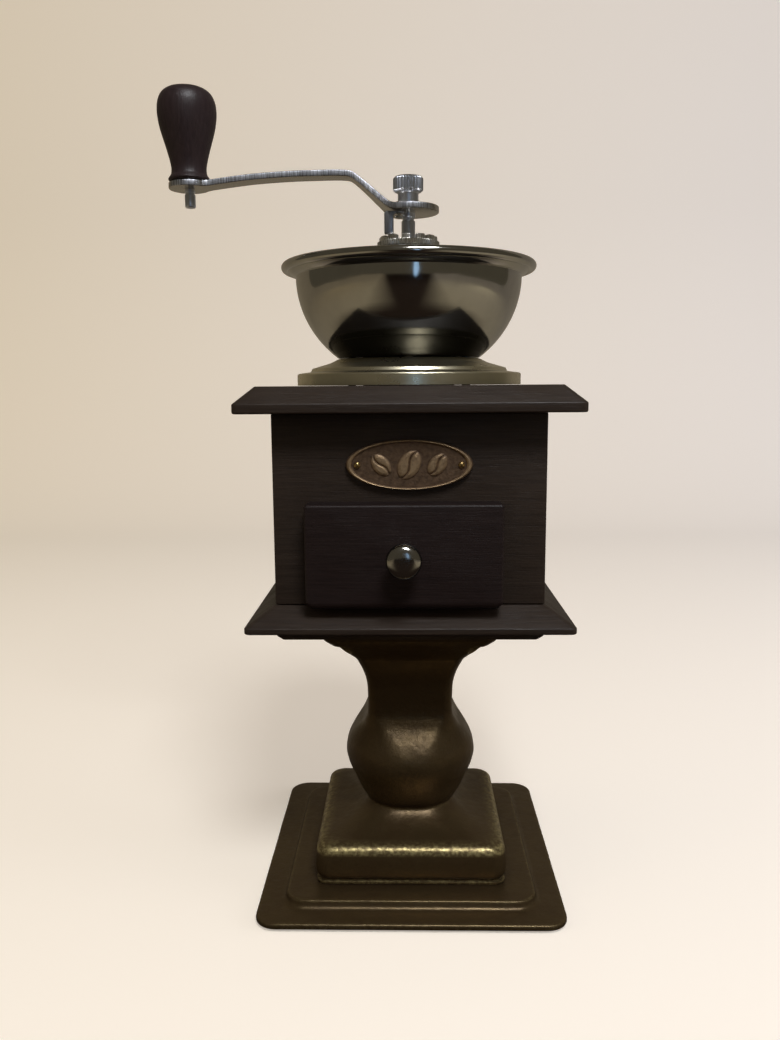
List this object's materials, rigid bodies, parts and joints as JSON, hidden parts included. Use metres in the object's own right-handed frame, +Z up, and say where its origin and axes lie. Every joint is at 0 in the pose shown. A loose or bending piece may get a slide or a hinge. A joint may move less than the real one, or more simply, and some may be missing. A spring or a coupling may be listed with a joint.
{
  "type": "coffee grinder mill",
  "caption": "Hand-cranked coffee mill: open metal hopper over a wooden box with a drawer for the ground coffee, standing on a cast square pedestal.",
  "frame": {"origin": "on the burr axis at the level the mill rests on, in the middle of the felt sheet's underside", "axes": "+Z up along the burr axis; the drawer and badge face -Y; at rest the crank arm points to -X"},
  "size_m": [0.175, 0.1438, 0.3505],
  "materials": {
    "dark_wood": "espresso-stained, semi-matt lacquer",
    "plain_wood": "bare, planed",
    "bronze_paint": "antique bronze paint on cast metal, satin",
    "chrome": "polished",
    "bright_steel": "bright, drawn along the part",
    "dark_steel": "blackened",
    "burr_iron": "as cast, ground edges",
    "brass": "dull",
    "aged_copper": "aged copper plate, rubbed bright on the raised edges",
    "felt": "pressed felt"
  },
  "bodies": {
    "mill": {"base_felt": "felt", "base_plate": "bronze_paint", "base_bolt": "dark_steel", "base_washer": "dark_steel", "pedestal_column": "bronze_paint", "pedestal_screw_1": "dark_steel", "pedestal_screw_2": "dark_steel", "pedestal_screw_3": "dark_steel", "pedestal_screw_4": "dark_steel", "bottom_panel": "dark_wood", "bottom_board": "dark_wood", "front_panel": "dark_wood", "back_panel": "dark_wood", "left_panel": "dark_wood", "right_panel": "dark_wood", "drawer_guide_left": "plain_wood", "drawer_guide_right": "plain_wood", "top_board": "dark_wood", "oval_badge": "aged_copper", "badge_nail_left": "brass", "badge_nail_right": "brass", "hopper_foot_ring": "chrome", "hopper_bowl": "chrome", "hopper_screw_1": "bright_steel", "hopper_screw_2": "bright_steel", "hopper_screw_3": "bright_steel", "hopper_screw_4": "bright_steel", "ring_burr": "burr_iron", "hopper_bridge": "bright_steel", "spindle_bush": "brass", "burr_spring": "bright_steel", "lower_bracket": "dark_steel", "lower_bracket_screw_left": "dark_steel", "lower_bracket_screw_right": "dark_steel"},
    "thrust_washer": {"thrust_washer": "brass"},
    "adjusting_gear": {"adjusting_gear": "bright_steel"},
    "spindle": {"spindle": "bright_steel", "inner_burr": "burr_iron", "burr_nut": "bright_steel", "spring_collar": "bright_steel", "crank_arm": "bright_steel", "stopper_leg": "bright_steel", "stopper_rivet": "bright_steel", "thumb_nut": "chrome"},
    "grip": {"grip": "dark_wood", "grip_screw": "bright_steel"},
    "drawer": {"drawer_front": "dark_wood", "drawer_side_left": "plain_wood", "drawer_side_right": "plain_wood", "drawer_back": "plain_wood", "drawer_bottom": "plain_wood", "drawer_knob": "chrome", "drawer_knob_screw": "bright_steel"}
  },
  "joints": [
    {"name": "crank_turn", "type": "hinge", "parent": "mill", "child": "thrust_washer", "pos_m": [0, 0, 0.2991], "axis": [0, 0, 1], "continuous": true},
    {"name": "adjust_turn", "type": "hinge", "parent": "thrust_washer", "child": "adjusting_gear", "pos_m": [0, 0, 0.283], "axis": [0, 0, 1], "range_deg": [-135, 135]},
    {"name": "burr_lift", "type": "slide", "parent": "thrust_washer", "child": "spindle", "axis": [0, 0, 1], "range_m": [-0.00028, 0.00028]},
    {"name": "grip_spin", "type": "hinge", "parent": "spindle", "child": "grip", "pos_m": [-0.0952, 0, 0.3101], "axis": [0, 0, 1], "continuous": true},
    {"name": "drawer_slide", "type": "slide", "parent": "mill", "child": "drawer", "axis": [0, -1, 0], "range_m": [0, 0.08]}
  ],
  "couplings": [
    {"joint": "adjust_turn", "follows": "burr_lift", "rad_per_m": -8377.3}
  ]
}
